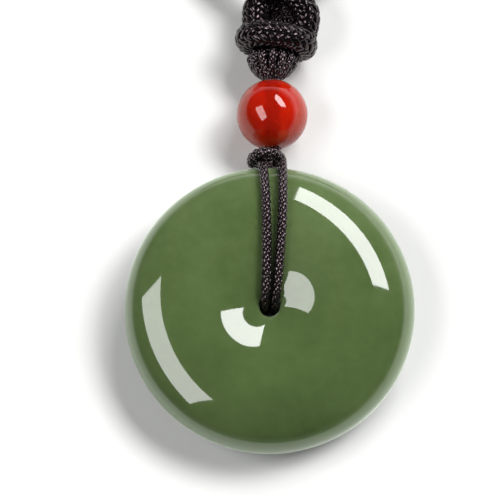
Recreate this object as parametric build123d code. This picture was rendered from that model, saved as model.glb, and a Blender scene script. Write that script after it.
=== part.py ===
from build123d import *
import math
import os

# Jade pendant lying on a table: a fat round jade disc with a small hole, two thin cord loops,
# a small knot, a red agate bead, a big knot and a whole neck cord. Millimetres, +Z up, and the
# way from the disc to the knots is +Y. Places are first given from the middle of the disc, on
# the table plane, and the whole is moved to its origin at the end.

# Driving dimensions of the disc
DISC_RADIUS = 20.0
RIM_RADIUS = 4.0
SHOULDER_RADIUS = 12.9
CREST_RADIUS = 17.4
DISH_RADIUS = 20.9
CREST_TILT = 13.3
SHOULDER_TILT = 28.0
HOLE_RADIUS = 1.42

# How the disc lies: on its lower crest, and on the two strands behind it
DISC_LEAN = 3.7
DISC_HEIGHT = 5.93

# Cords, the bead and the knots
CORD_DIAMETER = 1.25
WRAP_DIAMETER = 1.4
ROPE_DIAMETER = 3.9
BEAD_DIAMETER = 10.0
BEAD_HOLE_DIAMETER = 2.6
BEAD_MIDDLE = (0.4, 28.47, 5.1)
BEAD_SLOPE = 6.0
BUNDLE_DIAMETER = 2.3
BUNDLE_START = -5.6
BUNDLE_END = 5.0

BAND_MIDDLE = (1.0, 39.3, 5.12)
BAND_WIDTH = 11.8
BAND_HEIGHT = 10.2
BAND_DROP = -7.0
BAND_CORNER = 3.0
BAND_DIAMETER = 3.8

# Strands inside the big knot: a flat core through the band, and a tongue between the neck cords
CORE_WIDTH = 3.9
CORE_HEIGHT = 2.3
CORE_START = 36.45
CORE_END = 41.0
TONGUE_X = 1.85
TONGUE_Z = 5.15
TONGUE_WIDTH = 2.1
TONGUE_HEIGHT = 2.1
TONGUE_END = 43.2

CLOSING_MIDDLE = (1.5, 276.1, 3.75)
CLOSING_LENGTH = 16.0
CLOSING_DIAMETER = 7.4
CLOSING_BORE = 4.1
CLOSING_EDGE = 1.2

# A drill for a bore is this much longer than what it goes through
DRILL_LENGTH = 1.2

# Share of the shorter run that an arc of a cord takes. A thin cord's sharp folds, where half the
# turn is more than the fold angle, have their own radius.
ARC_SHARE = 0.45
FOLD_RADIUS = 1.7
FOLD_ANGLE = 25.0

# Routes of the two thin cord loops, in the disc's own frame: x to the right, y up the disc,
# z out of its face. Each goes down the front, through the hole, and up the back.
LEFT_LOOP = (
    (-1.05, 20.85, 1.15),
    (-1.05, 19.60, 3.15),
    (-1.03, 18.45, 4.12),
    (-0.98, 15.80, 5.32),
    (-0.88, 11.90, 6.01),
    (-0.78, 7.93, 5.80),
    (-0.68, 3.98, 4.75),
    (-0.64, 0.0, 2.85),
    (-0.64, 0.0, -2.85),
    (-0.62, 3.98, -4.75),
    (-0.58, 7.93, -5.80),
    (-0.50, 11.90, -6.01),
    (-0.40, 15.80, -5.32),
    (-0.28, 18.45, -4.12),
    (-0.20, 19.60, -3.15),
    (-0.15, 20.85, -1.15),
)
RIGHT_LOOP = (
    (1.78, 20.12, 2.31),
    (1.77, 19.60, 3.15),
    (1.74, 18.45, 4.12),
    (1.65, 15.80, 5.32),
    (1.45, 11.90, 6.01),
    (1.18, 7.93, 5.80),
    (0.94, 3.98, 4.75),
    (0.69, 0.0, 2.85),
    (0.69, 0.0, -2.85),
    (0.86, 3.98, -4.75),
    (0.96, 7.93, -5.80),
    (1.10, 11.90, -6.01),
    (1.25, 15.80, -5.32),
    (1.40, 18.45, -4.12),
    (1.46, 19.60, -3.15),
    (1.50, 20.12, -2.31),
)

# Route of the small knot's wrap, in the same frame. From the right strand it goes over the
# front, round the left side, where it hangs lowest, and behind.
WRAP_ROUTE = (
    (1.70, 20.95, -0.60),
    (1.74, 21.15, 1.00),
    (0.80, 21.50, 2.55),
    (-0.90, 21.65, 3.10),
    (-2.25, 21.35, 1.90),
    (-2.52, 20.76, 0.10),
    (-2.10, 21.10, -1.80),
    (-0.80, 21.70, -2.90),
    (0.80, 21.80, -2.95),
    (1.75, 21.60, -1.85),
)

# Sections of the gathered strands above the bead: place along Y, middle in x and z, width, height
GATHER_SECTIONS = (
    (33.60, 0.42, 5.60, 2.30, 2.30),
    (34.70, 0.42, 5.30, 5.20, 4.40),
    (35.70, 0.48, 5.15, 6.90, 5.80),
    (36.50, 0.50, 5.05, 7.65, 6.60),
    (36.95, 0.60, 5.10, 7.10, 6.20),
)

# Routes of the two halves of the neck cord, on the table plane. Each starts at the top of the
# band, crosses the other, lies down on the table and goes round to the closing knot.
LEFT_NECK = (
    (4.9, 41.35, 6.1),
    (5.15, 43.6, 6.7),
    (1.75, 46.95, 7.5),
    (-3.6, 50.4, 6.4),
    (-10.7, 55.8, 3.6),
    (-20.8, 65.4, 1.98),
    (-36.0, 84.0, 1.98),
    (-55.0, 117.0, 1.98),
    (-68.5, 156.5, 1.98),
    (-72.5, 198.5, 1.98),
    (-62.0, 239.0, 1.98),
    (-40.0, 265.0, 1.98),
    (-22.5, 274.3, 2.10),
    (-9.5, 276.1, 3.75),
    (1.3, 276.1, 3.75),
)
RIGHT_NECK = (
    (-1.9, 42.4, 5.0),
    (-1.2, 44.4, 4.5),
    (3.0, 46.6, 2.75),
    (7.5, 50.4, 2.05),
    (14.2, 56.6, 1.98),
    (24.0, 67.2, 1.98),
    (39.0, 87.2, 1.98),
    (57.5, 120.4, 1.98),
    (70.0, 160.5, 1.98),
    (72.0, 201.5, 1.98),
    (61.0, 241.0, 1.98),
    (39.5, 263.4, 1.98),
    (26.5, 272.6, 2.10),
    (12.5, 276.1, 3.75),
    (1.7, 276.1, 3.75),
)


def place_on_disc(shape):
    """The disc's own frame, leaned back and set on the table."""
    return Pos(0, 0, DISC_HEIGHT) * Rot(DISC_LEAN, 0, 0) * shape


def arc_radius(before, here, after, fold_radius):
    """A share of the shorter run over the tangent of half the turn, and no more than a fold's."""
    run_in = Vector(*here) - Vector(*before)
    run_out = Vector(*after) - Vector(*here)
    half_turn = run_in.get_angle(run_out) / 2
    radius = ARC_SHARE * min(run_in.length, run_out.length) / math.tan(math.radians(half_turn))
    if half_turn > FOLD_ANGLE:
        return min(radius, fold_radius)
    return radius


def cord(name, route, diameter, fold_radius=math.inf):
    """A round tube along straight runs joined by tangent arcs."""
    corners = zip(route, route[1:], route[2:])
    radii = [arc_radius(*corner, fold_radius) for corner in corners]
    path = FilletPolyline(*route, radius=radii)
    section = Plane(origin=path @ 0, z_dir=path % 0) * Circle(diameter / 2)
    tube = sweep(section, path=path)
    expected = math.pi * diameter**2 / 4 * path.length
    print(name, "length", round(path.length, 1), "volume ratio", round(tube.volume / expected, 4))
    print("  radii", [round(radius, 1) for radius in radii])
    return tube


def jade_disc():
    """Half a section of tangent arcs, from the hole over the crest to the rim, turned round."""
    shoulder_start = DISC_RADIUS - RIM_RADIUS * (1 - math.sin(math.radians(SHOULDER_TILT)))
    crest_end = shoulder_start - SHOULDER_RADIUS * (
        math.sin(math.radians(SHOULDER_TILT)) - math.sin(math.radians(CREST_TILT))
    )
    crest_place = crest_end - CREST_RADIUS * math.sin(math.radians(CREST_TILT))
    half_thickness = (
        CREST_RADIUS * (1 - math.cos(math.radians(CREST_TILT)))
        + SHOULDER_RADIUS * (math.cos(math.radians(CREST_TILT)) - math.cos(math.radians(SHOULDER_TILT)))
        + RIM_RADIUS * math.cos(math.radians(SHOULDER_TILT))
    )
    step = SHOULDER_TILT - CREST_TILT
    crest = Vector(crest_place, half_thickness)
    out_crest = JernArc(crest, (1, 0), CREST_RADIUS, -CREST_TILT)
    out_shoulder = JernArc(out_crest @ 1, out_crest % 1, SHOULDER_RADIUS, -step)
    out_rim = JernArc(out_shoulder @ 1, out_shoulder % 1, RIM_RADIUS, SHOULDER_TILT - 90)
    in_crest = JernArc(crest, (-1, 0), CREST_RADIUS, CREST_TILT)
    in_dish = JernArc(in_crest @ 1, in_crest % 1, DISH_RADIUS, step)
    lip_width = (in_dish @ 1).X - HOLE_RADIUS
    lip_radius = lip_width / (1 - math.sin(math.radians(SHOULDER_TILT)))
    in_lip = JernArc(in_dish @ 1, in_dish % 1, lip_radius, 90 - SHOULDER_TILT)
    wall = Line(in_lip @ 1, ((in_lip @ 1).X, 0))
    middle = Line((HOLE_RADIUS, 0), (DISC_RADIUS, 0))
    upper = make_face(Wire([wall, in_lip, in_dish, in_crest, out_crest, out_shoulder, out_rim, middle]))
    print("disc thickness", round(2 * half_thickness, 2), "crest at radius", round(crest_place, 2))
    section = upper + mirror(upper, about=Plane.XZ)
    upright = Plane.XZ * section
    return place_on_disc(revolve(upright, axis=Axis.Z, revolution_arc=360))


def along_bead(shape):
    """The bead's own frame, whose Z is the line of its hole, towards the big knot."""
    return Pos(*BEAD_MIDDLE) * Rot(BEAD_SLOPE, 0, 0) * Rot(-90, 0, 0) * shape


def agate_bead():
    """A ball with a straight hole."""
    ball = Sphere(BEAD_DIAMETER / 2)
    hole = Cylinder(BEAD_HOLE_DIAMETER / 2, BEAD_DIAMETER * DRILL_LENGTH)
    return along_bead(ball - hole)


def bead_strands():
    """The thin strands that run through the bead, side by side, as one round bundle."""
    length = BUNDLE_END - BUNDLE_START
    middle = (BUNDLE_END + BUNDLE_START) / 2
    return along_bead(Pos(0, 0, middle) * Cylinder(BUNDLE_DIAMETER / 2, length))


def oval(middle, width, height):
    """An oval face across the pendant, facing along Y."""
    return Plane(origin=middle, x_dir=(1, 0, 0), z_dir=(0, 1, 0)) * Ellipse(width / 2, height / 2)


def gathered_strands():
    """The strands spread from the bead to the band, and go on through it as a core and a tongue."""
    funnel = loft([oval((x, y, z), width, height) for y, x, z, width, height in GATHER_SECTIONS])
    core_face = oval((BAND_MIDDLE[0], CORE_START, BAND_MIDDLE[2]), CORE_WIDTH, CORE_HEIGHT)
    core = extrude(core_face, CORE_END - CORE_START)
    tongue_face = oval((TONGUE_X, BAND_MIDDLE[1], TONGUE_Z), TONGUE_WIDTH, TONGUE_HEIGHT)
    tongue = extrude(tongue_face, TONGUE_END - BAND_MIDDLE[1])
    return funnel + core + tongue


def knot_band():
    """One turn of the thick cord round the core, its right end lower than its left."""
    path = RectangleRounded(
        BAND_WIDTH - BAND_DIAMETER,
        BAND_HEIGHT - BAND_DIAMETER,
        BAND_CORNER,
    ).wire()
    section = Plane(origin=path @ 0, z_dir=path % 0) * Circle(BAND_DIAMETER / 2)
    ring = sweep(section, path=path)
    return Pos(*BAND_MIDDLE) * Rot(0, 0, BAND_DROP) * Rot(90, 0, 0) * ring


def closing_knot():
    """A rounded barrel with a bore, round the ends of both neck cords."""
    barrel = Cylinder(CLOSING_DIAMETER / 2, CLOSING_LENGTH)
    barrel = fillet(barrel.edges().filter_by(GeomType.CIRCLE), CLOSING_EDGE)
    bore = Cylinder(CLOSING_BORE / 2, CLOSING_LENGTH * DRILL_LENGTH)
    return Pos(*CLOSING_MIDDLE) * Rot(0, 90, 0) * (barrel - bore)


pieces = {
    "jade_disc": jade_disc(),
    "pendant_cord_left": place_on_disc(cord("pendant_cord_left", LEFT_LOOP, CORD_DIAMETER, FOLD_RADIUS)),
    "pendant_cord_right": place_on_disc(cord("pendant_cord_right", RIGHT_LOOP, CORD_DIAMETER, FOLD_RADIUS)),
    "small_knot": place_on_disc(cord("small_knot", WRAP_ROUTE, WRAP_DIAMETER)),
    "agate_bead": agate_bead(),
    "bead_strands": bead_strands(),
    "gathered_strands": gathered_strands(),
    "knot_band": knot_band(),
    "neck_cord_left": cord("neck_cord_left", LEFT_NECK, ROPE_DIAMETER),
    "neck_cord_right": cord("neck_cord_right", RIGHT_NECK, ROPE_DIAMETER),
    "closing_knot": closing_knot(),
}

boxes = [piece.bounding_box() for piece in pieces.values()]
low_x = min(box.min.X for box in boxes)
high_x = max(box.max.X for box in boxes)
low_y = min(box.min.Y for box in boxes)
high_y = max(box.max.Y for box in boxes)
low_z = min(box.min.Z for box in boxes)
to_origin = Pos(-(low_x + high_x) / 2, -(low_y + high_y) / 2, -low_z)
print("moved by", [round(value, 3) for value in to_origin.position])

os.makedirs("parts", exist_ok=True)
for name, piece in pieces.items():
    export_step(to_origin * piece, f"parts/{name}.step")
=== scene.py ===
# %% [markdown]
# # A jade disc pendant on a braided cord
# The pendant lies on a pale table: a fat green jade disc with a small hole, two thin cord loops
# through it, a small knot, a red agate bead, strands gathered into a big knot, and a whole neck
# cord. The solids already have every size and place. This script gives each of them its finish:
# smooth polished stone, and cords that are braided strand by strand.

# %% Load the frame
import math

import bpy
import numpy as np
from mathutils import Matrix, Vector


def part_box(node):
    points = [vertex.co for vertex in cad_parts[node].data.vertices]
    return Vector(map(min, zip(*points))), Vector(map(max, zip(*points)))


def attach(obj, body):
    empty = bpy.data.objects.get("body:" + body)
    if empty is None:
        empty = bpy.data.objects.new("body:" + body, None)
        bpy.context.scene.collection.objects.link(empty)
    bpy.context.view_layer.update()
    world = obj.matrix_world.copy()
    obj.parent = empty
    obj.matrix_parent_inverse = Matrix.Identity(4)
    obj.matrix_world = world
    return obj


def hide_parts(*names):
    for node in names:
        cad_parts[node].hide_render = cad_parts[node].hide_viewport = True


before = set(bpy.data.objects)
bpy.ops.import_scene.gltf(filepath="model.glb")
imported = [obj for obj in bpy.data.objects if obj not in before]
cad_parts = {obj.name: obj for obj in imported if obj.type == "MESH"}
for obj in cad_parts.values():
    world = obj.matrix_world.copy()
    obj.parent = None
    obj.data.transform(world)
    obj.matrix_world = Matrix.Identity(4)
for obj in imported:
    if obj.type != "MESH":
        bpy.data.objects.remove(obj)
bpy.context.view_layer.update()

# %% [markdown]
# ## Where things are
# Places are written in millimetres from the middle of the disc, on the table, as a jeweller
# would measure them. Two helpers turn them into metres in the frame: one for things that lie on
# the table, and one for things that follow the disc, which leans a little because it rests on
# the cord behind it.

# %% Places on the table and on the disc
MM = 0.001
DISC_HEIGHT = 5.93
DISC_LEAN = math.radians(3.7)

disc_low, disc_high = np.array(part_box("jade_disc"))
disc_middle = (disc_low + disc_high) / 2
table_origin = disc_middle - np.array([0, 0, DISC_HEIGHT * MM])


def on_table(points):
    """Millimetres from the middle of the disc, on the table, to metres in the frame."""
    return table_origin + MM * np.asarray(points, dtype=float)


def leaned(points):
    """The disc's own x, y, z turned about x by its lean, then lifted to its height."""
    x, y, z = np.asarray(points, dtype=float).T
    back = y * math.cos(DISC_LEAN) - z * math.sin(DISC_LEAN)
    up = y * math.sin(DISC_LEAN) + z * math.cos(DISC_LEAN) + DISC_HEIGHT
    return np.column_stack([x, back, up])


print("middle of the disc in the frame", disc_middle)

# %% [markdown]
# ## The camera
# The disc looks almost round, only a little lower than it is wide, so the camera stands high
# above the near edge of it and looks down through a long lens. Its aim is given by the pixel of
# the disc's middle and by how many pixels a millimetre takes, in a picture 500 pixels wide.

# %% Camera
PICTURE_WIDTH = 500
PIXELS_PER_MM = 7.26
DISC_PIXEL = (269.6, 309.8)
CAMERA_RISE = math.radians(74.3)
LENS = 250
SENSOR = 36

right = np.array([1.0, 0.0, 0.0])
up = np.array([0.0, math.sin(CAMERA_RISE), math.cos(CAMERA_RISE)])
towards_camera = np.array([0.0, -math.cos(CAMERA_RISE), math.sin(CAMERA_RISE)])

aim_right = (PICTURE_WIDTH / 2 - DISC_PIXEL[0]) / PIXELS_PER_MM
aim_up = (DISC_PIXEL[1] - PICTURE_WIDTH / 2) / PIXELS_PER_MM
aim = disc_middle + MM * (aim_right * right + aim_up * up)
distance = MM * PICTURE_WIDTH / PIXELS_PER_MM * LENS / SENSOR

camera_data = bpy.data.cameras.new("camera")
camera_data.lens = LENS
camera_data.sensor_width = SENSOR
camera_data.clip_start = 0.01
camera = bpy.data.objects.new("camera", camera_data)
camera.location = aim + distance * towards_camera
camera.rotation_euler = (math.pi / 2 - CAMERA_RISE, 0, 0)
bpy.context.scene.collection.objects.link(camera)
bpy.context.scene.camera = camera
print("camera stands", round(distance, 3), "m away")

# %% [markdown]
# ## Meshes from arrays
# Every new piece here is a grid of points that numpy works out at once. A grid that closes on
# itself both ways, such as a ring, needs only four-sided faces. A tube closes one way only, so
# each of its ends gets a fan of triangles. One helper makes both kinds, and turns the faces
# outwards by the sign of the volume that they enclose.

# %% A mesh from grids of points
STRAND_UV = "along_strand"


def grid_faces(rings, sides, start=0, close_rings=False):
    """Faces between neighbouring rings: (i, j), (i, j+1), (i+1, j+1), (i+1, j)."""
    last = rings if close_rings else rings - 1
    i, j = np.meshgrid(np.arange(last), np.arange(sides), indexing="ij")
    next_i = (i + 1) % rings
    next_j = (j + 1) % sides
    here, there = i * sides, next_i * sides
    quads = np.stack([here + j, here + next_j, there + next_j, there + j], -1)
    return start + quads.reshape(-1, 4)


def outward(points, faces):
    """Whether faces look outwards: the volume they enclose, a sum of corner products, is positive."""
    a, b, c = (points[faces[:, k]] for k in (0, 1, 2))
    volume = np.einsum("ij,ij->i", a, np.cross(b, c)).sum()
    if faces.shape[1] == 4:
        d = points[faces[:, 3]]
        volume += np.einsum("ij,ij->i", a, np.cross(c, d)).sum()
    return volume > 0


def make_object(name, points, quads, fans=None, uv_quads=None, uv_fans=None):
    """A smooth mesh object at the origin from points in metres, quads and triangles."""
    mesh = bpy.data.meshes.new(name)
    fans = np.empty((0, 3), int) if fans is None else fans
    corners = np.concatenate([quads.ravel(), fans.ravel()]).astype(np.int32)
    starts = np.concatenate([np.arange(len(quads)) * 4, quads.size + np.arange(len(fans)) * 3])
    mesh.vertices.add(len(points))
    mesh.vertices.foreach_set("co", np.ascontiguousarray(points, dtype=np.float32).ravel())
    mesh.loops.add(len(corners))
    mesh.loops.foreach_set("vertex_index", corners)
    mesh.polygons.add(len(starts))
    mesh.polygons.foreach_set("loop_start", starts.astype(np.int32))
    mesh.polygons.foreach_set("use_smooth", np.ones(len(starts), dtype=bool))
    if uv_quads is not None:
        values = np.concatenate([uv_quads.reshape(-1, 2), uv_fans.reshape(-1, 2)])
        layer = mesh.uv_layers.new(name=STRAND_UV)
        layer.data.foreach_set("uv", values.astype(np.float32).ravel())
    mesh.update(calc_edges=True)
    mesh.validate()
    piece = bpy.data.objects.new(name, mesh)
    bpy.context.scene.collection.objects.link(piece)
    print(name, "has", len(quads) * 2 + len(fans), "triangles")
    return piece


# %% [markdown]
# ## The line of a cord
# A cord's line is a NURBS curve whose control points are the points of its route. It touches the
# middle of every leg between two points, so it is smooth and stays near the tube of the solid.
# Read back as points, it is spaced evenly, which keeps every pick of the braid the same length.

# %% Lines from routes
CURVE_STEPS = 40
SAME_PLACE = 1e-9
FEWEST_STEPS = 4


def route_line(name, route, spacing):
    """Evenly spaced points, in metres, along the NURBS curve of a route in metres."""
    curve = bpy.data.curves.new(name, "CURVE")
    curve.dimensions = "3D"
    curve.resolution_u = CURVE_STEPS
    spline = curve.splines.new("NURBS")
    spline.points.add(len(route) - 1)
    spline.points.foreach_set("co", np.column_stack([route, np.ones(len(route))]).ravel())
    spline.order_u = 3
    spline.use_endpoint_u = True
    holder = bpy.data.objects.new(name, curve)
    mesh = bpy.data.meshes.new_from_object(holder)
    line = np.empty(len(mesh.vertices) * 3)
    mesh.vertices.foreach_get("co", line)
    bpy.data.meshes.remove(mesh)
    bpy.data.objects.remove(holder)
    bpy.data.curves.remove(curve)
    return even(line.reshape(-1, 3), spacing)


def even(line, spacing):
    """The same line, with points at equal steps of its length."""
    steps = np.linalg.norm(np.diff(line, axis=0), axis=1)
    line = line[np.concatenate([[True], steps > SAME_PLACE])]
    length = np.concatenate([[0], np.cumsum(np.linalg.norm(np.diff(line, axis=0), axis=1))])
    count = max(int(round(length[-1] / spacing)), FEWEST_STEPS) + 1
    at = np.linspace(0, length[-1], count)
    return np.column_stack([np.interp(at, length, line[:, k]) for k in range(3)])


# %% [markdown]
# ## A braid
# A round braided cord has as many strands winding one way as the other. A strand of a braid with
# n strands each way turns once in a lay, and meets 2n others in it, over some and under others.
# In the thin cord it goes over one and under one. In the thick cord it goes over two and under
# two, so its floats are longer. The places on a strand are worked out for all strands at once:
# the line, plus a radius that rises and falls, turned by an angle that grows along the cord.
# The strands are flat, lie a little over each other at their edges, and are wrapped round a plain
# core, so that no light passes between them.

# %% Strands of a braid
# A strand's thickness is a share of the cord's radius, and its rise a share of its thickness.
STRAND_FLAT = 0.36
STRAND_RISE = 0.36
FLOAT_FLATNESS = 1.35
STRAND_OVERLAP = 1.05
RIDGE_SIDES = 3
UV_STEP = 7.3
THIN_CORE_SHARE, THICK_CORE_SHARE = 0.5, 0.72


def frames(line, reference, tangent):
    """Two unit vectors square to the line at every point, the first nearest the reference."""
    tangent = tangent / np.linalg.norm(tangent, axis=1, keepdims=True)
    side = reference - tangent * (tangent @ reference)[:, None]
    side /= np.linalg.norm(side, axis=1, keepdims=True)
    return side, np.cross(tangent, side)


def end_fans(hubs, first, last):
    """Triangles that close a tube: from each end's middle to the ring of points round it."""
    count = first.shape[1]
    start_hub, end_hub = (np.repeat(hub, count) for hub in hubs)
    return np.concatenate([
        np.stack([start_hub, np.roll(first, -1, axis=1).ravel(), first.ravel()], -1),
        np.stack([end_hub, last.ravel(), np.roll(last, -1, axis=1).ravel()], -1)])


def braid(line, reference, radius, each_way, pick, sides, flat=STRAND_FLAT, over_two=False,
          scale=None, start=0.0):
    """Points, faces and UVs of a round braid along a line, which begins at length start.

    With n strands each way and s the length along the cord, a strand's angle is its turn, 1 or -1,
    times pi s / (n pick), plus its own share of a full turn. Its distance from the line is the
    mean radius plus the rise times a wave. The wave of strand j is cos(pi s / pick) for over one,
    and cos(pi/2 (s / pick + 2 j - 1/2)) for over two.
    """
    steps = np.linalg.norm(np.diff(line, axis=0), axis=1)
    s = start + np.concatenate([[0], np.cumsum(steps)])
    side, other = frames(line, reference, np.gradient(line, s, axis=0))
    scale = np.ones(len(s)) if scale is None else scale

    turn = np.repeat([1, -1], each_way)[:, None]
    index = np.tile(np.arange(each_way), 2)[:, None]
    crossing = s[None, :] / pick
    angle = turn * math.pi * crossing / each_way + 2 * math.pi * index / each_way
    if over_two:
        wave = np.where(turn > 0, np.cos(math.pi / 2 * (crossing + 2 * index - 0.5)),
                        -np.cos(math.pi / 2 * (2 * index - crossing - 0.5)))
    else:
        wave = turn * np.cos(math.pi * crossing)
    thickness = radius * flat
    rise = thickness * STRAND_RISE
    mean = radius - thickness / 2 - rise
    distance = (mean + rise * np.clip(FLOAT_FLATNESS * wave, -1, 1)) * scale[None, :]

    outwards = np.cos(angle)[..., None] * side + np.sin(angle)[..., None] * other
    centre = line[None] + distance[..., None] * outwards
    along = np.gradient(centre, axis=1)
    along /= np.linalg.norm(along, axis=2, keepdims=True)
    across = np.cross(along, outwards)
    across /= np.linalg.norm(across, axis=2, keepdims=True)
    outwards = np.cross(across, along)
    lean = math.atan(math.pi * mean / (each_way * pick))
    width = 2 * math.pi * mean / each_way * math.cos(lean) * STRAND_OVERLAP

    # A strand of three sides is a flat ridge, with its wide side towards the core.
    turned_by = 2 * math.pi / sides if sides > RIDGE_SIDES else math.pi / 2
    phi = turned_by * np.arange(sides)
    half_width = width / 2 * scale[None, :, None, None]
    half_thick = thickness / 2 * scale[None, :, None, None]
    ring = (centre[:, :, None, :]
            + half_width * np.cos(phi)[:, None] * across[:, :, None, :]
            + half_thick * np.sin(phi)[:, None] * outwards[:, :, None, :])
    strands, rings = 2 * each_way, len(s)
    points = ring.reshape(-1, 3)
    quads = np.concatenate([
        grid_faces(rings, sides, start=n * rings * sides) for n in range(strands)])
    first = np.arange(strands)[:, None] * rings * sides + np.arange(sides)
    hubs = len(points) + np.arange(2 * strands).reshape(2, strands)
    fans = end_fans(hubs, first, first + (rings - 1) * sides)
    points = np.concatenate([points, centre[:, 0], centre[:, -1]])

    i, j = np.meshgrid(np.arange(rings - 1), np.arange(sides), indexing="ij")
    round_uv = np.stack([j, j + 1, j + 1, j], -1) / sides
    along_uv = np.stack([s[i], s[i], s[i + 1], s[i + 1]], -1) / MM
    uv_one = np.stack([round_uv, along_uv], -1).reshape(-1, 4, 2)
    uv = np.concatenate([uv_one + np.array([0.0, UV_STEP * n]) for n in range(strands)])
    if not outward(points, quads):
        quads = quads[:, ::-1]
        uv = uv[:, ::-1]
        fans = fans[:, ::-1]
    return points, quads, fans, uv, np.zeros((len(fans), 3, 2))


def core(line, reference, radius, sides=10, scale=None):
    """A plain closed tube inside a braid, whose radius follows the scale along it."""
    side, other = frames(line, reference, np.gradient(line, axis=0))
    scale = np.ones(len(line)) if scale is None else scale
    phi = 2 * math.pi * np.arange(sides) / sides
    ring = line[:, None] + radius * scale[:, None, None] * (
        np.cos(phi)[:, None] * side[:, None] + np.sin(phi)[:, None] * other[:, None])
    points = np.concatenate([ring.reshape(-1, 3), line[[0, -1]]])
    quads = grid_faces(len(line), sides)
    first = np.arange(sides)[None]
    hubs = len(line) * sides + np.arange(2)[:, None]
    fans = end_fans(hubs, first, first + (len(line) - 1) * sides)
    if not outward(points, quads):
        quads = quads[:, ::-1]
        fans = fans[:, ::-1]
    return points, quads, fans, np.zeros((len(quads), 4, 2)), np.zeros((len(fans), 3, 2))


def join_parts(name, parts):
    """One object from several sets of points, faces and UVs."""
    counts = np.cumsum([0] + [len(part[0]) for part in parts])
    points = np.concatenate([part[0] for part in parts])
    quads = np.concatenate([part[1] + start for part, start in zip(parts, counts)])
    fans = np.concatenate([part[2] + start for part, start in zip(parts, counts)])
    uv_quads = np.concatenate([part[3] for part in parts])
    uv_fans = np.concatenate([part[4] for part in parts])
    return make_object(name, points, quads, fans, uv_quads, uv_fans)


# %% [markdown]
# ## The two thin loops
# Each loop leaves the small knot, lies tight down the face of the disc, dives through the hole
# and comes up the back. Down the face the two draw together, until they fill the hole side by
# side. Their routes are written in the disc's own frame, on straight lines that touch the disc's
# curve, which keeps the smooth line just off the stone.

# %% Thin cord loops
THIN_RADIUS = 0.69
THIN_EACH_WAY = 4
THIN_FLAT = 0.45
THIN_PICK = 0.55
THIN_RINGS = 6
THIN_SIDES = 8
THIN_CORE_STEP = 3
SIDEWAYS = np.array([1.0, 0.0, 0.0])
UPRIGHT = np.array([0.0, 0.0, 1.0])
LENGTHWAYS = np.array([0.0, 1.0, 0.0])

LEFT_LOOP = (
    (-1.15, 21.60, 0.10),
    (-1.05, 20.85, 1.15),
    (-0.95, 19.60, 3.15),
    (-0.78, 18.45, 4.12),
    (-0.58, 15.80, 5.32),
    (-0.42, 11.90, 6.01),
    (-0.38, 7.93, 5.80),
    (-0.42, 3.98, 4.75),
    (-0.64, 0.0, 2.85),
    (-0.64, 0.0, -2.85),
    (-0.62, 3.98, -4.75),
    (-0.58, 7.93, -5.80),
    (-0.50, 11.90, -6.01),
    (-0.40, 15.80, -5.32),
    (-0.28, 18.45, -4.12),
    (-0.20, 19.60, -3.15),
    (-0.15, 20.85, -1.15),
)
RIGHT_LOOP = (
    (1.70, 21.00, 1.05),
    (1.78, 20.12, 2.31),
    (1.77, 19.60, 3.15),
    (1.82, 18.45, 4.12),
    (1.83, 15.80, 5.32),
    (1.76, 11.90, 6.01),
    (1.52, 7.93, 5.80),
    (1.20, 3.98, 4.75),
    (0.69, 0.0, 2.85),
    (0.69, 0.0, -2.85),
    (0.86, 3.98, -4.75),
    (0.96, 7.93, -5.80),
    (1.10, 11.90, -6.01),
    (1.25, 15.80, -5.32),
    (1.40, 18.45, -4.12),
    (1.46, 19.60, -3.15),
    (1.50, 20.12, -2.31),
)


def thin_cord(name, route, reference, radius=THIN_RADIUS):
    """A thin cord: four strands each way over one and under one, round a plain core."""
    line = route_line(name, route, MM * THIN_PICK / THIN_RINGS)
    strands = braid(line, reference, MM * radius, THIN_EACH_WAY, MM * THIN_PICK, THIN_SIDES,
                    flat=THIN_FLAT)
    heart = core(line[::THIN_CORE_STEP], reference, MM * radius * THIN_CORE_SHARE)
    return join_parts(name, [strands, heart])


loop_left = thin_cord("thin_loop_left", on_table(leaned(LEFT_LOOP)), SIDEWAYS)
loop_right = thin_cord("thin_loop_right", on_table(leaned(RIGHT_LOOP)), SIDEWAYS)

# %% [markdown]
# ## The small knot
# Between the bead and the disc the cord takes one turn round itself. It comes up out of the
# right strand, crosses the front, hangs lowest on the left, and goes behind. One more route of
# the same cord, a little thicker because it is tight, makes it.

# %% Small knot
WRAP_RADIUS = 0.77
WRAP_ROUTE = (
    (1.70, 20.95, -0.60),
    (1.74, 21.15, 1.00),
    (0.80, 21.50, 2.55),
    (-0.90, 21.65, 3.10),
    (-2.25, 21.35, 1.90),
    (-2.52, 20.76, 0.10),
    (-2.10, 21.10, -1.80),
    (-0.80, 21.40, -2.90),
    (0.80, 21.40, -2.95),
    (1.75, 21.50, -1.85),
)
small_knot = thin_cord("small_knot_turn", on_table(leaned(WRAP_ROUTE)), LENGTHWAYS, WRAP_RADIUS)

# %% [markdown]
# ## The strands through the bead
# The hole of the bead is full of cord. Four thin cords lie side by side in it, show at both ends
# and reach down into the small knot. They are straight, so each is the same short braid, moved
# sideways. Cords that are hardly seen, as these are, have fewer rings and sides.

# %% Strands in the bead
BEAD_MIDDLE = np.array([0.4, 28.47, 5.1])
BEAD_SLOPE = math.radians(6.0)
BUNDLE_START, BUNDLE_END = -6.6, 5.0
BUNDLE_CORD_RADIUS = 0.52
BUNDLE_STEP = 0.57
BUNDLE_RINGS = 3
BUNDLE_SIDES = 5
BUNDLE_CORE_STEP = 6
bead_line = np.array([0.0, math.cos(BEAD_SLOPE), math.sin(BEAD_SLOPE)])
bead_front = np.array([0.0, -math.sin(BEAD_SLOPE), math.cos(BEAD_SLOPE)])


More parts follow.
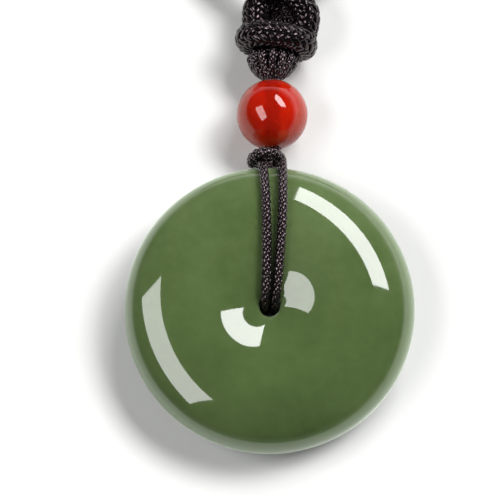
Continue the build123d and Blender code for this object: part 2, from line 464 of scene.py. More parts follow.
def bead_cords():
    """Four straight braids at the corners of a square round the line of the bead's hole."""
    parts = []
    for across, above in ((-1, -1), (1, -1), (-1, 1), (1, 1)):
        middle = BEAD_MIDDLE + BUNDLE_STEP * (across * SIDEWAYS + above * bead_front)
        ends = np.array([middle + BUNDLE_START * bead_line, middle + BUNDLE_END * bead_line])
        line = even(on_table(ends), MM * THIN_PICK / BUNDLE_RINGS)
        parts.append(braid(line, SIDEWAYS, MM * BUNDLE_CORD_RADIUS, THIN_EACH_WAY, MM * THIN_PICK,
                           BUNDLE_SIDES))
        parts.append(core(line[::BUNDLE_CORE_STEP], SIDEWAYS,
                          MM * BUNDLE_CORD_RADIUS * THIN_CORE_SHARE))
    return join_parts("cords_in_bead", parts)


in_bead = bead_cords()

# %% [markdown]
# ## The gathered strands
# Above the bead the cords spread and go up under the thick band. Thirteen of them stand round an
# oval, whose width and height grow and shrink again by the solid's own sections. Where they
# squeeze into the hole they are drawn thin. A plain core fills the oval between them.

# %% Gathered strands
# Each section is its place along y, the x and z of its middle, its width and its height.
GATHER_SECTIONS = (
    (32.90, 0.42, 5.60, 1.60, 1.60),
    (33.60, 0.42, 5.60, 2.30, 2.30),
    (34.70, 0.42, 5.30, 5.20, 4.40),
    (35.70, 0.48, 5.15, 6.90, 5.80),
    (36.50, 0.50, 5.05, 7.65, 6.60),
    (37.30, 0.70, 5.10, 6.60, 6.40),
    (38.60, 0.90, 5.12, 3.70, 2.60),
    (41.00, 1.40, 4.60, 4.30, 2.00),
    (43.90, 1.90, 4.30, 3.60, 1.90),
)
GATHER_COUNT = 13
GATHER_RADIUS = 0.66
GATHER_FIRST = 0.3
GATHER_CROWDING = 1.25
GATHER_SHIFT, GATHER_SHIFT_STEP = 0.10, 2.4
GATHER_RINGS = 4
GATHER_SIDES, GATHER_CORE_SIDES = 5, 6
FILL_SPACING, FILL_SIDES = 0.2, 12


def gathered_cords():
    """Cord i stands at angle 2 pi i / n round every section, its own radius inside the outline.

    Its radius is its share of the section's girth, pi (width + height) / 2, where that is tight.
    Each cord is shifted along y by a small sine of its own number, so that no two picks line up.
    """
    y, x, z, width, height = np.array(GATHER_SECTIONS).T
    girth = math.pi * (width + height) / 2
    radius = np.minimum(GATHER_RADIUS, GATHER_CROWDING * girth / GATHER_COUNT / 2)
    parts = []
    for i in range(GATHER_COUNT):
        angle = 2 * math.pi * (i + GATHER_FIRST) / GATHER_COUNT
        route = on_table(np.column_stack([
            x + (width / 2 - radius) * math.cos(angle),
            y + GATHER_SHIFT * math.sin(GATHER_SHIFT_STEP * i),
            z + (height / 2 - radius) * math.sin(angle)]))
        line = route_line("gathered", route, MM * THIN_PICK / GATHER_RINGS)
        share = np.interp(line[:, 1], route[:, 1], radius / GATHER_RADIUS)
        parts.append(braid(line, SIDEWAYS, MM * GATHER_RADIUS, THIN_EACH_WAY, MM * THIN_PICK,
                           GATHER_SIDES, scale=share))
        parts.append(core(line[::GATHER_RINGS], SIDEWAYS, MM * GATHER_RADIUS * THIN_CORE_SHARE,
                          GATHER_CORE_SIDES, scale=share[::GATHER_RINGS]))
    middles = on_table(np.column_stack([x, y, z]))
    fill = even(middles, MM * FILL_SPACING)
    fill_height = np.interp(fill[:, 1], middles[:, 1], height)
    fill_radius = fill_height / 2 * THICK_CORE_SHARE
    parts.append(core(fill, SIDEWAYS, MM, FILL_SIDES, scale=fill_radius))
    return join_parts("gathered_cords", parts)


gathered = gathered_cords()

# %% [markdown]
# ## The thick cord
# The neck cord is a rounder, thicker braid of twenty strands, ten each way, over two and under
# two. Three pieces are made of it: the band, which is one closed turn, and the two halves of the
# neck cord, which cross above the band and go round to the closing knot. Near the big knot, where
# the eye comes closest, each strand has more sides and more rings than along the rest.

# %% Thick cord
ROPE_RADIUS = 1.95
ROPE_PICK = 0.50
ROPE_EACH_WAY = 10
ROPE_FLAT = 0.18
ROPE_CORE_SIDES, ROPE_CORE_STEP = 14, 12
FINE_LENGTH = 28.0
FINE_RINGS, COARSE_RINGS = 4, 1.6
FINE_SIDES, COARSE_SIDES = 6, RIDGE_SIDES


def thick_cord(name, route, reference):
    """A thick cord along a route: fine rings for its first stretch, and coarser ones after it."""
    line = route_line(name, route, MM * ROPE_PICK / FINE_RINGS)
    split = int(round(FINE_LENGTH * FINE_RINGS / ROPE_PICK))
    near = line[: split + 1]
    near_length = np.linalg.norm(np.diff(near, axis=0), axis=1).sum()
    far = even(line[split:], MM * ROPE_PICK / COARSE_RINGS)
    rope = (MM * ROPE_RADIUS, ROPE_EACH_WAY, MM * ROPE_PICK)
    core_radius = MM * ROPE_RADIUS * THICK_CORE_SHARE
    return join_parts(name, [
        braid(near, reference, *rope, FINE_SIDES, ROPE_FLAT, over_two=True),
        braid(far, reference, *rope, COARSE_SIDES, ROPE_FLAT, over_two=True, start=near_length),
        core(line[::ROPE_CORE_STEP], reference, core_radius, ROPE_CORE_SIDES)])


# %% [markdown]
# ### The two halves of the neck cord
# The left half comes out of the right side of the knot and crosses over the other one. Both then
# lie down on the table and go round in a long drop shape, about 600 mm in all.

# %% Neck cord
LEFT_NECK = (
    (4.8, 40.0, 5.5),
    (5.2, 41.35, 6.0),
    (5.4, 43.4, 6.7),
    (1.75, 46.95, 7.5),
    (-3.6, 50.4, 6.4),
    (-10.7, 55.8, 3.6),
    (-20.8, 65.4, 1.98),
    (-36.0, 84.0, 1.98),
    (-55.0, 117.0, 1.98),
    (-68.5, 156.5, 1.98),
    (-72.5, 198.5, 1.98),
    (-62.0, 239.0, 1.98),
    (-40.0, 265.0, 1.98),
    (-22.5, 274.3, 2.10),
    (-9.5, 276.1, 3.75),
    (1.3, 276.1, 3.75),
)
RIGHT_NECK = (
    (-2.0, 41.0, 5.2),
    (-1.95, 42.2, 5.1),
    (-1.9, 45.3, 4.8),
    (2.8, 45.9, 2.9),
    (7.5, 50.4, 2.05),
    (14.2, 56.6, 1.98),
    (24.0, 67.2, 1.98),
    (39.0, 87.2, 1.98),
    (57.5, 120.4, 1.98),
    (70.0, 160.5, 1.98),
    (72.0, 201.5, 1.98),
    (61.0, 241.0, 1.98),
    (39.5, 263.4, 1.98),
    (26.5, 272.6, 2.10),
    (12.5, 276.1, 3.75),
    (1.7, 276.1, 3.75),
)
neck_left = thick_cord("neck_rope_left", on_table(LEFT_NECK), UPRIGHT)
neck_right = thick_cord("neck_rope_right", on_table(RIGHT_NECK), UPRIGHT)

# %% [markdown]
# ### The band
# One turn of the thick cord holds the knot together. Its line is a rounded oblong in an upright
# plane, a superellipse, and its right end hangs a little lower than its left.

# %% Band of the big knot
BAND_MIDDLE = np.array([1.0, 39.3, 5.12])
BAND_WIDTH, BAND_HEIGHT, BAND_DIAMETER = 11.8, 10.2, 3.8
BAND_DROP = math.radians(-7.0)
BAND_FULLNESS = 2.35
BAND_POINTS = 721
BAND_RINGS, BAND_SIDES = 6, 8


def band():
    """x = a c |c|^(2/f - 1), z = b s |s|^(2/f - 1), for c and s the cosine and sine of one turn.

    The number of picks is a multiple of four, so that over two and under two meet without a seam.
    """
    turn = np.linspace(0, 2 * math.pi, BAND_POINTS) - math.pi / 2
    cos, sin = np.cos(turn), np.sin(turn)
    power = 2 / BAND_FULLNESS
    flat_x = (BAND_WIDTH - BAND_DIAMETER) / 2 * np.sign(cos) * np.abs(cos) ** power
    flat_z = (BAND_HEIGHT - BAND_DIAMETER) / 2 * np.sign(sin) * np.abs(sin) ** power
    oblong = BAND_MIDDLE + np.column_stack([
        flat_x * math.cos(BAND_DROP), flat_x * math.sin(BAND_DROP), flat_z])
    length = np.linalg.norm(np.diff(oblong, axis=0), axis=1).sum()
    picks = 4 * round(length / ROPE_PICK / 4)
    pick = MM * length / picks
    line = even(on_table(oblong), pick / BAND_RINGS)
    radius = MM * BAND_DIAMETER / 2
    strands = braid(line, LENGTHWAYS, radius, ROPE_EACH_WAY, pick, BAND_SIDES, ROPE_FLAT,
                    over_two=True)
    heart = core(line[::BAND_RINGS], LENGTHWAYS, radius * THICK_CORE_SHARE, ROPE_CORE_SIDES)
    print("the band is", round(length, 1), "mm round, with", picks, "picks")
    return join_parts("band_of_knot", [strands, heart])


knot_band = band()

# %% [markdown]
# ### The closing knot
# At the back the two halves meet in a wrapped knot, which the photograph doesn't show. It is a
# coil of thin cord wound close round both ends, a helix whose turns touch.

# %% Closing knot
CLOSING_MIDDLE = np.array([1.5, 276.1, 3.75])
CLOSING_LENGTH, CLOSING_DIAMETER = 16.0, 7.4
CLOSING_CORD = 1.45
COIL_POINTS = 48
COIL_RINGS, COIL_SIDES = 3, 4
COIL_CORE_SIDES, COIL_CORE_STEP = 6, 2


def closing_coil():
    """x grows by one cord's width a turn, and y and z go round at a steady radius."""
    turns = (CLOSING_LENGTH - CLOSING_CORD) / CLOSING_CORD
    angle = np.linspace(0, 2 * math.pi * turns, int(COIL_POINTS * turns))
    radius = (CLOSING_DIAMETER - CLOSING_CORD) / 2
    helix = CLOSING_MIDDLE + np.column_stack([
        (angle / angle[-1] - 0.5) * (CLOSING_LENGTH - CLOSING_CORD),
        radius * np.cos(angle),
        radius * np.sin(angle)])
    line = even(on_table(helix), MM * THIN_PICK / COIL_RINGS)
    cord_radius = MM * CLOSING_CORD / 2
    strands = braid(line, SIDEWAYS, cord_radius, THIN_EACH_WAY, MM * THIN_PICK, COIL_SIDES)
    heart = core(line[::COIL_CORE_STEP], SIDEWAYS, cord_radius * THIN_CORE_SHARE, COIL_CORE_SIDES)
    return join_parts("closing_coil", [strands, heart])


closing = closing_coil()

# %% [markdown]
# ## The disc
# A polished disc shows every facet in its reflections, so it is a fresh surface of revolution
# with many rings. The outline of its section is a chain of arcs, each tangent to the last: a
# broad crest, a shoulder and a rim outwards, a shallow dish and a small lip inwards. The lights
# draw bands on it exactly where these arcs turn towards them.

# %% Disc
DISC_RADIUS, RIM_RADIUS, SHOULDER_RADIUS = 20.0, 4.0, 12.9
CREST_RADIUS, DISH_RADIUS, HOLE_RADIUS = 17.4, 20.9, 1.42
CREST_TILT, SHOULDER_TILT = math.radians(13.3), math.radians(28.0)
BROAD_STEPS, RIM_STEPS, LIP_STEPS = 14, 26, 8
DISC_AROUND = 288


def arc(start, tilt_from, tilt_to, radius, steps, inwards=False):
    """Points at r + R (sin t - sin t0) and z + R (cos t - cos t0), r mirrored on the way in."""
    tilt = np.linspace(tilt_from, tilt_to, steps + 1)[1:]
    sign = -1 if inwards else 1
    r = start[0] + sign * radius * (np.sin(tilt) - math.sin(tilt_from))
    z = start[1] + radius * (np.cos(tilt) - math.cos(tilt_from))
    return np.column_stack([r, z])


def arc_chain(start, tilts, radii, steps, inwards=False):
    """Arcs in a row, each from one tilt to the next, that begins where the last one ended."""
    points = []
    for tilt_from, tilt_to, radius, count in zip(tilts, tilts[1:], radii, steps):
        points.append(arc(start, tilt_from, tilt_to, radius, count, inwards))
        start = points[-1][-1]
    return np.concatenate(points)


def disc_section():
    """The upper outline from the hole's wall to the rim's edge, in r and z."""
    shoulder_start = DISC_RADIUS - RIM_RADIUS * (1 - math.sin(SHOULDER_TILT))
    crest_end = shoulder_start - SHOULDER_RADIUS * (math.sin(SHOULDER_TILT) - math.sin(CREST_TILT))
    crest_r = crest_end - CREST_RADIUS * math.sin(CREST_TILT)
    half = (CREST_RADIUS * (1 - math.cos(CREST_TILT))
            + SHOULDER_RADIUS * (math.cos(CREST_TILT) - math.cos(SHOULDER_TILT))
            + RIM_RADIUS * math.cos(SHOULDER_TILT))
    crest = np.array([crest_r, half])
    tilts = (0, CREST_TILT, SHOULDER_TILT, math.pi / 2)
    steps = (BROAD_STEPS, BROAD_STEPS, RIM_STEPS)
    outer = arc_chain(crest, tilts, (CREST_RADIUS, SHOULDER_RADIUS, RIM_RADIUS), steps)
    inner = arc_chain(crest, tilts[:3], (CREST_RADIUS, DISH_RADIUS), steps[:2], inwards=True)
    lip = (inner[-1][0] - HOLE_RADIUS) / (1 - math.sin(SHOULDER_TILT))
    edge = arc(inner[-1], SHOULDER_TILT, math.pi / 2, lip, LIP_STEPS, inwards=True)
    inside = np.concatenate([inner, edge])[::-1]
    return np.concatenate([[[HOLE_RADIUS, 0.0]], inside, [crest], outer])


def turned(section, around):
    """x = r cos a, y = r sin a, z = z for a closed section and one full turn."""
    angle = 2 * math.pi * np.arange(around) / around
    r, z = section.T
    return np.stack([
        np.outer(r, np.cos(angle)),
        np.outer(r, np.sin(angle)),
        np.repeat(z[:, None], around, axis=1)], -1).reshape(-1, 3)


def ring_object(name, points, rings, around):
    """A closed ring of quads, rings times around, with its faces outwards."""
    faces = grid_faces(rings, around, close_rings=True)
    return make_object(name, points, faces if outward(points, faces) else faces[:, ::-1])


upper = disc_section()
lower = upper[1:-1][::-1] * [1, -1]
section = np.concatenate([upper, lower])
disc_points = on_table(leaned(turned(section, DISC_AROUND)))
disc = ring_object("disc_of_jade", disc_points, len(section), DISC_AROUND)
print("the disc is", round(2 * section[:, 1].max(), 2), "mm thick")

# %% [markdown]
# ## The bead
# The bead is a ball with a straight hole, so its section is most of a circle and the hole's
# wall, with a small bevel where they meet. It is turned round the line of the hole.

# %% Bead
BEAD_RADIUS, BEAD_HOLE_RADIUS = 5.0, 1.3
BEVEL_WIDTH, BEVEL_DEPTH = 0.12, 0.072
BALL_STEPS, WALL_STEPS = 96, 9
BEAD_AROUND = 160


def bead_section():
    """R sin t and R cos t from edge to edge, then the wall, its corners cut by a small bevel."""
    edge_tilt = math.asin((BEAD_HOLE_RADIUS + BEVEL_WIDTH) / BEAD_RADIUS)
    tilt = np.linspace(edge_tilt, math.pi - edge_tilt, BALL_STEPS)
    ball = np.column_stack([BEAD_RADIUS * np.sin(tilt), BEAD_RADIUS * np.cos(tilt)])
    wall_end = ball[0][1] - BEVEL_DEPTH
    wall_z = np.linspace(-wall_end, wall_end, WALL_STEPS)
    wall = np.column_stack([np.full(WALL_STEPS, BEAD_HOLE_RADIUS), wall_z])
    return np.concatenate([ball, wall])


across, above, along = turned(bead_section(), BEAD_AROUND).T[..., None]
bead_points = on_table(BEAD_MIDDLE + across * SIDEWAYS + above * bead_front + along * bead_line)
bead = ring_object("bead_of_agate", bead_points, len(bead_section()), BEAD_AROUND)

# %% [markdown]
# ## Small effects for the materials
# Three node groups hold effects that a material feeds with a few numbers. The first makes clouds
# in stone: large soft ones and small ones, mixed from the object's own coordinates. The second
# makes the satin of a cord: fine fibres along each strand, as a mask and as a bumped normal.
# The third gives the masks of the bead's painted light: the zones at its two sides, with a ruffled
# edge, for a painted glow, and the strip down its middle, where the cord shows through, for painted
# shade.

# %% Node groups
SMALL_SHARE = 0.28
LARGE_DETAIL, SMALL_DETAIL = 3.0, 5.0
FIBRE_DETAIL = 1.0
FIBRE_HEIGHT = 0.00006
SIDE_OVAL = (1.0, 0.8, 0.0)
RUFFLE_SCALE, RUFFLE_SIZE = 420.0, 0.0010
MIDDLE_EDGE, MIDDLE_FULL = 0.0014, 0.0006


def smooth_step(tree, value, low, high):
    """A node whose Result eases from 0 at the low value to 1 at the high one."""
    node = tree.nodes.new("ShaderNodeMapRange")
    node.interpolation_type = "SMOOTHSTEP"
    node.inputs["From Min"].default_value = low
    node.inputs["From Max"].default_value = high
    tree.links.new(value, node.inputs["Value"])
    return node


def vector_math(tree, operation, vector, constant=None):
    """A vector node that works on a linked vector and, where it needs one, a constant."""
    node = tree.nodes.new("ShaderNodeVectorMath")
    node.operation = operation
    tree.links.new(vector, node.inputs[0])
    if constant is not None:
        node.inputs[1].default_value = constant
    return node


def new_group(name, inputs, outputs):
    """An empty node group with float inputs that have defaults, and outputs of given types."""
    group = bpy.data.node_groups.new(name, "ShaderNodeTree")
    for label, default in inputs:
        socket = group.interface.new_socket(label, in_out="INPUT", socket_type="NodeSocketFloat")
        socket.default_value = default
    for label, kind in outputs:
        group.interface.new_socket(label, in_out="OUTPUT", socket_type=kind)
    return group, group.nodes.new("NodeGroupInput"), group.nodes.new("NodeGroupOutput")


def stone_clouds():
    """Clouds = large noise, mixed with a little over a quarter of small noise."""
    group, entry, out = new_group(
        "stone clouds", [("Large", 90.0), ("Small", 600.0)], [("Clouds", "NodeSocketFloat")])
    place = group.nodes.new("ShaderNodeTexCoord")
    large = group.nodes.new("ShaderNodeTexNoise")
    small = group.nodes.new("ShaderNodeTexNoise")
    large.inputs["Detail"].default_value = LARGE_DETAIL
    small.inputs["Detail"].default_value = SMALL_DETAIL
    mix = group.nodes.new("ShaderNodeMix")
    mix.inputs["Factor"].default_value = SMALL_SHARE
    group.links.new(place.outputs["Object"], large.inputs["Vector"])
    group.links.new(place.outputs["Object"], small.inputs["Vector"])
    group.links.new(entry.outputs["Large"], large.inputs["Scale"])
    group.links.new(entry.outputs["Small"], small.inputs["Scale"])
    group.links.new(large.outputs["Fac"], mix.inputs["A"])
    group.links.new(small.outputs["Fac"], mix.inputs["B"])
    group.links.new(mix.outputs["Result"], out.inputs["Clouds"])
    return group


def satin_fibres():
    """Fibres = noise stretched along the strand, by its UV, as a mask and a bump."""
    group, entry, out = new_group(
        "satin fibres", [("Around", 9.0), ("Along", 1.2), ("Depth", 0.5)],
        [("Fibres", "NodeSocketFloat"), ("Normal", "NodeSocketVector")])
    place = group.nodes.new("ShaderNodeUVMap")
    place.uv_map = STRAND_UV
    stretch = group.nodes.new("ShaderNodeCombineXYZ")
    grow = vector_math(group, "MULTIPLY", place.outputs["UV"])
    noise = group.nodes.new("ShaderNodeTexNoise")
    noise.inputs["Scale"].default_value = 1.0
    noise.inputs["Detail"].default_value = FIBRE_DETAIL
    bump = group.nodes.new("ShaderNodeBump")
    bump.inputs["Distance"].default_value = FIBRE_HEIGHT
    group.links.new(entry.outputs["Around"], stretch.inputs["X"])
    group.links.new(entry.outputs["Along"], stretch.inputs["Y"])
    group.links.new(stretch.outputs["Vector"], grow.inputs[1])
    group.links.new(grow.outputs["Vector"], noise.inputs["Vector"])
    group.links.new(noise.outputs["Fac"], bump.inputs["Height"])
    group.links.new(entry.outputs["Depth"], bump.inputs["Strength"])
    group.links.new(noise.outputs["Fac"], out.inputs["Fibres"])
    group.links.new(bump.outputs["Normal"], out.inputs["Normal"])
    return group


def side_zones():
    """Zones = a smooth step of the length of ((x, y, z) - middle) * oval, ruffled by noise.

    Middle = a smooth step of |x - middle|, which is 1 near the plane down the bead's middle.
    """
    # Zones masks a painted glow at the bead's sides, and Middle masks painted shade down its middle.
    group, entry, out = new_group(
        "side zones", [("Inner", 0.0036), ("Outer", 0.0044)],
        [("Zones", "NodeSocketFloat"), ("Middle", "NodeSocketFloat")])
    place = group.nodes.new("ShaderNodeTexCoord")
    away = vector_math(group, "SUBTRACT", place.outputs["Object"], on_table(BEAD_MIDDLE))
    squeeze = vector_math(group, "MULTIPLY", away.outputs["Vector"], SIDE_OVAL)
    size = vector_math(group, "LENGTH", squeeze.outputs["Vector"])
    ruffle = group.nodes.new("ShaderNodeTexNoise")
    ruffle.inputs["Scale"].default_value = RUFFLE_SCALE
    shift = group.nodes.new("ShaderNodeMath")
    shift.operation = "MULTIPLY_ADD"
    shift.inputs[1].default_value = RUFFLE_SIZE
    group.links.new(place.outputs["Object"], ruffle.inputs["Vector"])
    group.links.new(ruffle.outputs["Fac"], shift.inputs[0])
    group.links.new(size.outputs["Value"], shift.inputs[2])
    zones = smooth_step(group, shift.outputs["Value"], 0.0, 1.0)
    group.links.new(entry.outputs["Inner"], zones.inputs["From Min"])
    group.links.new(entry.outputs["Outer"], zones.inputs["From Max"])
    group.links.new(zones.outputs["Result"], out.inputs["Zones"])
    split = group.nodes.new("ShaderNodeSeparateXYZ")
    width = group.nodes.new("ShaderNodeMath")
    width.operation = "ABSOLUTE"
    group.links.new(away.outputs["Vector"], split.inputs["Vector"])
    group.links.new(split.outputs["X"], width.inputs[0])
    strip = smooth_step(group, width.outputs["Value"], MIDDLE_EDGE, MIDDLE_FULL)
    group.links.new(strip.outputs["Result"], out.inputs["Middle"])
    return group


CLOUDS = stone_clouds()
FIBRES = satin_fibres()
SIDE_ZONES = side_zones()

# %% [markdown]
# ## Materials
# The jade is a deep olive green, cloudy and a little translucent, with a high polish. It grows a
# little lighter from its lower edge to its upper one, and its rim is painted paler, a painted
# reflection of the pale surroundings and a painted glow of light through the edge. The agate is
# an orange red in which light travels. A painted glow makes it paler and browner at both sides,
# and painted shade makes it darker down its middle, where the cord fills the hole. The cord is
# black satin with a breath of violet on its fibres.

# %% Materials
# The tones are pairs of a cloud's depth and its colour, from 0 to 255.
JADE_TONES = ((0.12, (51, 67, 33)), (0.50, (68, 85, 47)), (0.90, (86, 102, 65)))
JADE_DRIFT = 0.20
# The paler rim colour is a painted reflection of the pale surroundings and a painted glow of light
# through the edge.
JADE_PAINTED_RIM_GLOW = (100, 118, 84)
JADE_PAINTED_RIM_START, JADE_PAINTED_RIM_END = 0.0185, 0.0199
AGATE_TONES = ((0.32, (158, 15, 0)), (0.55, (176, 25, 0)), (0.75, (190, 40, 0)))
# The middle colour is painted shade where the cord inside takes the light, and the side colour a
# painted glow of light through the stone.
AGATE_PAINTED_MIDDLE_SHADE, AGATE_PAINTED_SIDE_GLOW = (120, 10, 0), (166, 42, 11)
AGATE_PAINTED_SHADE_SHARE = 0.45
CORD_DARK = (4, 4, 4)
CORD_DARK_FROM, CORD_LIGHT_FROM = 0.42, 0.75
# A Mix node has one set of sockets for each type, so those for colours go by their number.
MIX_FIRST, MIX_SECOND, MIX_RESULT = 6, 7, 2


def srgb(red, green, blue):
    """Linear values of a colour from 0 to 255: ((c + 0.055) / 1.055) ^ 2.4."""
    shown = np.array([red, green, blue]) / 255
    return (*((shown + 0.055) / 1.055) ** 2.4, 1.0)


def ramp(tree, mask, stops):
    """A colour ramp over a mask, from pairs of position and linear colour."""
    node = tree.nodes.new("ShaderNodeValToRGB")
    node.color_ramp.elements[0].position, node.color_ramp.elements[0].color = stops[0]
    node.color_ramp.elements[1].position, node.color_ramp.elements[1].color = stops[-1]
    for position, colour in stops[1:-1]:
        node.color_ramp.elements.new(position).color = colour
    tree.links.new(mask, node.inputs["Fac"])
    return node.outputs["Color"]


def tones(pairs):
    """Pairs of position and colour from 0 to 255, with the colours made linear."""
    return [(position, srgb(*colour)) for position, colour in pairs]


def blend(tree, share, first, second):
    """The first colour, which turns into the constant second one as the share grows to 1."""
    node = tree.nodes.new("ShaderNodeMix")
    node.data_type = "RGBA"
    node.inputs[MIX_SECOND].default_value = srgb(*second)
    tree.links.new(share, node.inputs["Factor"])
    tree.links.new(first, node.inputs[MIX_FIRST])
    return node.outputs[MIX_RESULT]


def material(name, settings):
    """A Principled material with its constant sockets set."""
    finish = bpy.data.materials.new(name)
    finish.use_nodes = True
    shader = finish.node_tree.nodes["Principled BSDF"]
    for label, value in settings.items():
        shader.inputs[label].default_value = value
    return finish, finish.node_tree, shader


def group_node(tree, group, settings):
    """A node of a shared group, with its inputs set."""
    node = tree.nodes.new("ShaderNodeGroup")
    node.node_tree = group
    for label, value in settings.items():
        node.inputs[label].default_value = value
    return node


def jade_material():
    """Olive green clouds, lighter up the disc, with a painted pale rim of reflection and glow, under
    a polish.
    """
    finish, tree, shader = material("polished jade", {
        "Roughness": 0.045,
        "IOR": 1.61,
        "Subsurface Weight": 0.35,
        "Subsurface Radius": (0.7, 1.0, 0.5),
        "Subsurface Scale": 0.0025,
        "Sheen Weight": 1.0,
        "Sheen Roughness": 0.32,
        "Sheen Tint": srgb(215, 228, 210)})
    clouds = group_node(tree, CLOUDS, {"Large": 95.0, "Small": 700.0})
    place = tree.nodes.new("ShaderNodeTexCoord")
    split = tree.nodes.new("ShaderNodeSeparateXYZ")
    drift = tree.nodes.new("ShaderNodeMapRange")
    drift.inputs["From Min"].default_value = disc_low[1]
    drift.inputs["From Max"].default_value = disc_high[1]
    drift.inputs["To Min"].default_value = -JADE_DRIFT
    drift.inputs["To Max"].default_value = JADE_DRIFT
    tone = tree.nodes.new("ShaderNodeMath")
    tree.links.new(place.outputs["Object"], split.inputs["Vector"])
    tree.links.new(split.outputs["Y"], drift.inputs["Value"])
    tree.links.new(clouds.outputs["Clouds"], tone.inputs[0])
    tree.links.new(drift.outputs["Result"], tone.inputs[1])
    colour = ramp(tree, tone.outputs["Value"], tones(JADE_TONES))
    # The rim is painted paler: a painted reflection and glow of light at the disc's edge.
    away = vector_math(tree, "DISTANCE", place.outputs["Object"], disc_middle)
    rim = smooth_step(tree, away.outputs["Value"], JADE_PAINTED_RIM_START, JADE_PAINTED_RIM_END)
    colour = blend(tree, rim.outputs["Result"], colour, JADE_PAINTED_RIM_GLOW)
    tree.links.new(colour, shader.inputs["Base Color"])
    return finish


def agate_material():
    """Orange red in which light travels, with painted shade down the middle and a painted paler glow
    at each side.
    """
    finish, tree, shader = material("red agate", {
        "Roughness": 0.02,
        "IOR": 1.5,
        "Transmission Weight": 0.25,
        "Subsurface Weight": 0.8,
        "Subsurface Radius": (1.0, 0.22, 0.05),
        "Subsurface Scale": 0.0022})
    clouds = group_node(tree, CLOUDS, {"Large": 160.0, "Small": 900.0})
    colour = ramp(tree, clouds.outputs["Clouds"], tones(AGATE_TONES))
    parts = group_node(tree, SIDE_ZONES, {"Inner": 0.0036, "Outer": 0.0044})
    # Painted shade down the middle, where the cord inside the hole takes the light.
    dim = tree.nodes.new("ShaderNodeMath")
    dim.operation = "MULTIPLY"
    dim.inputs[1].default_value = AGATE_PAINTED_SHADE_SHARE
    tree.links.new(parts.outputs["Middle"], dim.inputs[0])
    colour = blend(tree, dim.outputs["Value"], colour, AGATE_PAINTED_MIDDLE_SHADE)
    # A painted glow at both sides, where light passes through the stone.
    colour = blend(tree, parts.outputs["Zones"], colour, AGATE_PAINTED_SIDE_GLOW)
    tree.links.new(colour, shader.inputs["Base Color"])
    return finish


def cord_material(name, light, around, along, ior):
    """Black satin: the fibres lighten it a little and break up its gloss."""
    finish, tree, shader = material(name, {
        "Roughness": 0.07,
        "IOR": ior,
        "Specular Tint": srgb(255, 228, 236)})
    fibres = group_node(tree, FIBRES, {"Around": around, "Along": along, "Depth": 0.5})
    colour = ramp(tree, fibres.outputs["Fibres"], tones(
        ((CORD_DARK_FROM, CORD_DARK), (CORD_LIGHT_FROM, light))))
    tree.links.new(colour, shader.inputs["Base Color"])
    tree.links.new(fibres.outputs["Normal"], shader.inputs["Normal"])
    return finish


jade = jade_material()
agate = agate_material()
thin_satin = cord_material("thin black cord", (12, 7, 9), around=7.0, along=3.0, ior=1.7)
thick_satin = cord_material("thick black cord", (13, 8, 10), around=9.0, along=2.0, ior=1.5)

# %% [markdown]
# ## What each piece stands for
# Every piece takes the place of one solid, rides on the pendant's one body, and is listed beside
# the material of the record for its solid. The closing knot is thick cord in the record, but its
# turns are as fine as thin cord, so they shine like it.

# %% Pieces and solids
FINISHES = (
    (disc, "jade_disc", "green_jade", jade),
    (bead, "agate_bead", "red_agate", agate),
    (loop_left, "pendant_cord_left", "thin_cord", thin_satin),
    (loop_right, "pendant_cord_right", "thin_cord", thin_satin),
    (small_knot, "small_knot", "thin_cord", thin_satin),
    (in_bead, "bead_strands", "thin_cord", thin_satin),
    (gathered, "gathered_strands", "thin_cord", thin_satin),
    (knot_band, "knot_band", "thick_cord", thick_satin),
    (neck_left, "neck_cord_left", "thick_cord", thick_satin),
    (neck_right, "neck_cord_right", "thick_cord", thick_satin),
    (closing, "closing_knot", "thick_cord", thin_satin),
)
for piece, node, slot, finish in FINISHES:
    piece.data.materials.append(finish)
    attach(piece, "root")
    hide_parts(node)
    print(piece.name, "stands for", node)

# %% [markdown]
# ## Table and light
# Two soft boxes light the pendant, as in a small photo tent. The bright one is beyond the upper
# right, the dimmer one before the lower left. Their directions are the disc's own, so that each
# draws one band on its outer slope and a smaller one on its inner slope. A far soft window beyond
# the upper right casts the shadow at the lower left. The polish doesn't mirror it. A surround
# that is dim overhead and pale near the horizon gives the stones their light edges.

# %% Table, lights and surround
TABLE_COLOUR = (0.60, 0.602, 0.594)
TABLE_MOTTLE = 0.015
TABLE_HALF = 3.0
TALL_SOFT_BOX = {
    "middle": (0.343, 0.534, 0.773),
    "width_axis": (0.002, 0.216, 0.976),
    "length_axis": (0.596, -0.784, 0.172),
    "width": 0.594,
    "length": 0.656,
    "radiance": 10.5,
}
WIDE_SOFT_BOX = {
    "middle": (-0.575, -0.065, 0.815),
    "width_axis": (-0.493, -0.321, -0.808),
    "length_axis": (0.327, -0.930, 0.170),
    "width": 0.433,
    "length": 0.803,
    "radiance": 5.6,
}
WINDOW_DIRECTION = (0.62, 0.29, 0.73)
WINDOW_STRENGTH = 2.6
WINDOW_SPREAD = math.radians(28)
SURROUND_DIM, SURROUND_PALE = 0.06, 1.9
PALE_DIRECTION = (0.25, 0.25, -1.0)
PALE_START, PALE_END = -0.2, 0.35


def table():
    """A wide flat floor under the pendant."""
    corners = TABLE_HALF * np.array([[-1, -1, 0], [1, -1, 0], [1, 1, 0], [-1, 1, 0]], dtype=float)
    floor = make_object("table", corners, np.array([[0, 1, 2, 3]]))
    finish, tree, shader = material("pale table", {"Roughness": 0.7})
    clouds = group_node(tree, CLOUDS, {"Large": 3.0, "Small": 250.0})
    low, high = (tuple(share * part for part in TABLE_COLOUR)
                 for share in (1 - TABLE_MOTTLE, 1 + TABLE_MOTTLE))
    colour = ramp(tree, clouds.outputs["Clouds"], [(0.3, (*low, 1.0)), (0.7, (*high, 1.0))])
    tree.links.new(colour, shader.inputs["Base Color"])
    floor.data.materials.append(finish)


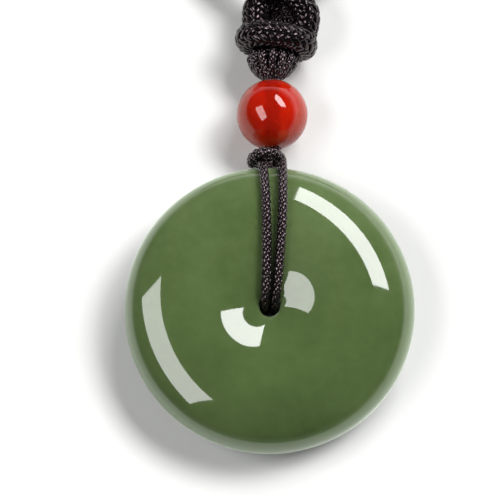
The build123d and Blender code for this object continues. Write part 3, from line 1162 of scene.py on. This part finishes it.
def soft_box(name, middle, width_axis, length_axis, width, length, radiance):
    """A rectangle about a metre off, given in the disc's frame; power = 4 x area x radiance."""
    lean = np.array([
        [1, 0, 0],
        [0, math.cos(DISC_LEAN), -math.sin(DISC_LEAN)],
        [0, math.sin(DISC_LEAN), math.cos(DISC_LEAN)]])
    light = bpy.data.lights.new(name, "AREA")
    light.shape = "RECTANGLE"
    light.size = width
    light.size_y = length
    light.energy = 4 * width * length * radiance
    lamp = bpy.data.objects.new(name, light)
    across, along = np.array(width_axis), np.array(length_axis)
    matrix = np.eye(4)
    matrix[:3, :3] = lean @ np.column_stack([across, along, np.cross(across, along)])
    matrix[:3, 3] = disc_middle + lean @ np.array(middle)
    lamp.matrix_world = matrix.T.tolist()
    bpy.context.scene.collection.objects.link(lamp)
    print(name, "is", width, "by", length, "m, with", round(light.energy, 1), "W")


def window():
    """A soft far light, which lights the pendant but isn't mirrored in its polish."""
    light = bpy.data.lights.new("window", "SUN")
    light.energy = WINDOW_STRENGTH
    light.angle = WINDOW_SPREAD
    lamp = bpy.data.objects.new("window", light)
    lamp.rotation_euler = Vector(WINDOW_DIRECTION).to_track_quat("Z", "Y").to_euler()
    lamp.visible_glossy = False
    bpy.context.scene.collection.objects.link(lamp)


def surround():
    """A world that is dim overhead and pale near the horizon, most of all beyond the knots.

    Its strength follows a smooth step of the direction's dot product with the pale direction,
    which falls with the height above the horizon and grows a little to the back and right.
    """
    world = bpy.data.worlds.new("surround")
    world.use_nodes = True
    tree = world.node_tree
    place = tree.nodes.new("ShaderNodeTexCoord")
    measure = vector_math(tree, "DOT_PRODUCT", place.outputs["Generated"], PALE_DIRECTION)
    spread = smooth_step(tree, measure.outputs["Value"], PALE_START, PALE_END)
    spread.inputs["To Min"].default_value = SURROUND_DIM
    spread.inputs["To Max"].default_value = SURROUND_PALE
    tree.links.new(spread.outputs["Result"], tree.nodes["Background"].inputs["Strength"])
    tree.nodes["Background"].inputs["Color"].default_value = (1.0, 1.0, 1.0, 1.0)
    bpy.context.scene.world = world


table()
soft_box("tall_soft_box", **TALL_SOFT_BOX)
soft_box("wide_soft_box", **WIDE_SOFT_BOX)
window()
surround()
bpy.context.scene.view_settings.view_transform = "Standard"
